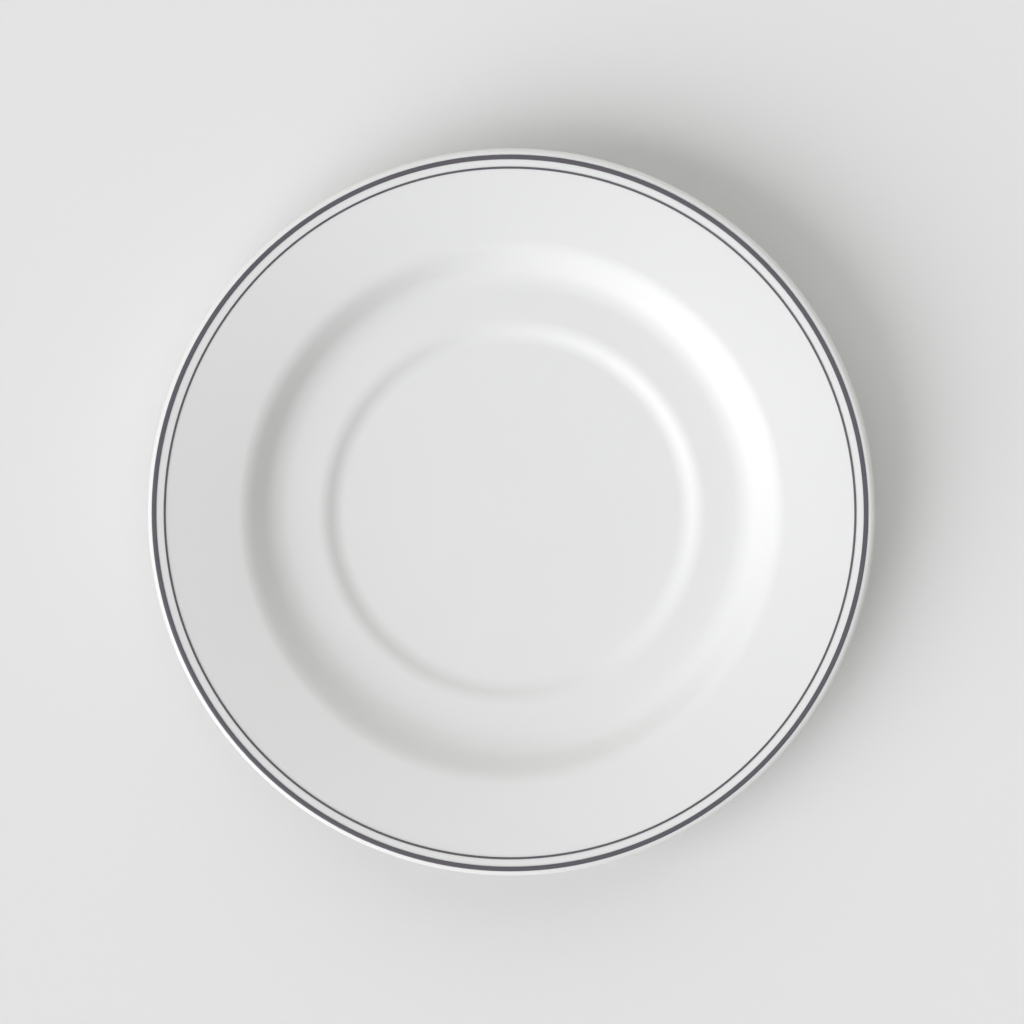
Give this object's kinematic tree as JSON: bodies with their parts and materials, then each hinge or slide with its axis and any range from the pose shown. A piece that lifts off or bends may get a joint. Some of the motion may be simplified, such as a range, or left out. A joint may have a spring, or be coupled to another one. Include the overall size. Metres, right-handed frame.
{
  "type": "saucer",
  "caption": "Round white glazed porcelain saucer with a stepped cup well, steep inner wall, sloping rim, foot ring and dark-grey edge lines; carries a cup and catches drips.",
  "frame": {"origin": "centre of the foot ring, on the plane it stands on", "axes": "+Z up along the axis the saucer was turned on; +X and +Y are level and, on a round saucer, arbitrary: seen from above with +Y up, they are the right and the top of the picture"},
  "size_m": [0.15, 0.15, 0.0171],
  "materials": {
    "biscuit": "bare fired porcelain, matt",
    "glaze": "satin white glaze",
    "band_colour": "dark grey fired line"
  },
  "bodies": {
    "root": {"biscuit_body": "biscuit", "glaze_coat": "glaze", "foot_recess_glaze": "glaze", "broad_band": "band_colour", "fine_band": "band_colour"}
  },
  "joints": []
}
